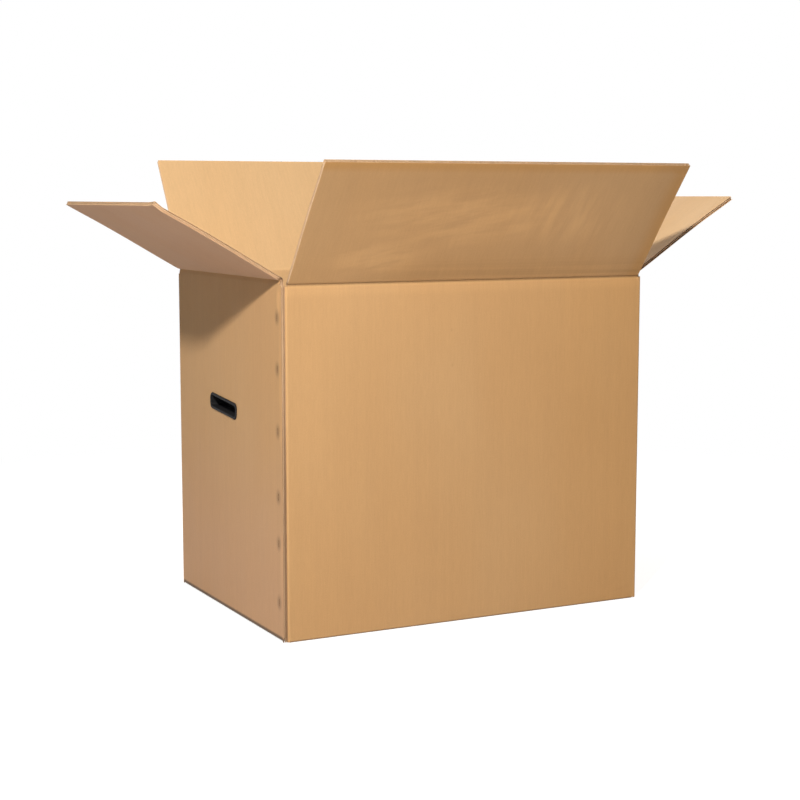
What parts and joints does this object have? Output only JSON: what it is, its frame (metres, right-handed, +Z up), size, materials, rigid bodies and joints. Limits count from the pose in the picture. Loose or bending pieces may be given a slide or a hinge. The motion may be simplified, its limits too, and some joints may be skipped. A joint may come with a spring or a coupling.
{
  "type": "moving box",
  "caption": "Large open moving box of double-wall corrugated board with a stapled corner seam, moulded hand holds and hinged top flaps.",
  "frame": {"origin": "on the floor under the middle of the box", "axes": "+X along the long walls to the right, +Y from the front to the rear, +Z up"},
  "size_m": [1.1193, 0.7678, 0.8004],
  "materials": {
    "outer_board": "matte",
    "inner_board": "matte",
    "staple_wire": "satin",
    "moulded_black": "satin",
    "packing_tape": "gloss"
  },
  "bodies": {
    "carton": {"carton": "outer_board", "seam_staples": "staple_wire", "left_handle": "moulded_black", "right_handle": "moulded_black", "bottom_tape": "packing_tape"},
    "front_flap": {"front_flap": "outer_board"},
    "rear_flap": {"rear_flap": "outer_board"},
    "left_flap": {"left_flap": "outer_board"},
    "right_flap": {"right_flap": "outer_board"}
  },
  "joints": [
    {"name": "front_flap_crease", "type": "hinge", "parent": "carton", "child": "front_flap", "pos_m": [0, -0.245, 0.59], "axis": [1, 0, 0], "range_deg": [-127.5, 132.5]},
    {"name": "rear_flap_crease", "type": "hinge", "parent": "carton", "child": "rear_flap", "pos_m": [0, 0.245, 0.59], "axis": [-1, 0, 0], "range_deg": [-122, 138]},
    {"name": "left_flap_crease", "type": "hinge", "parent": "carton", "child": "left_flap", "pos_m": [-0.35, 0, 0.597], "axis": [0, -1, 0], "range_deg": [-150.5, 109.5]},
    {"name": "right_flap_crease", "type": "hinge", "parent": "carton", "child": "right_flap", "pos_m": [0.35, 0, 0.597], "axis": [0, 1, 0], "range_deg": [-148, 112]}
  ]
}
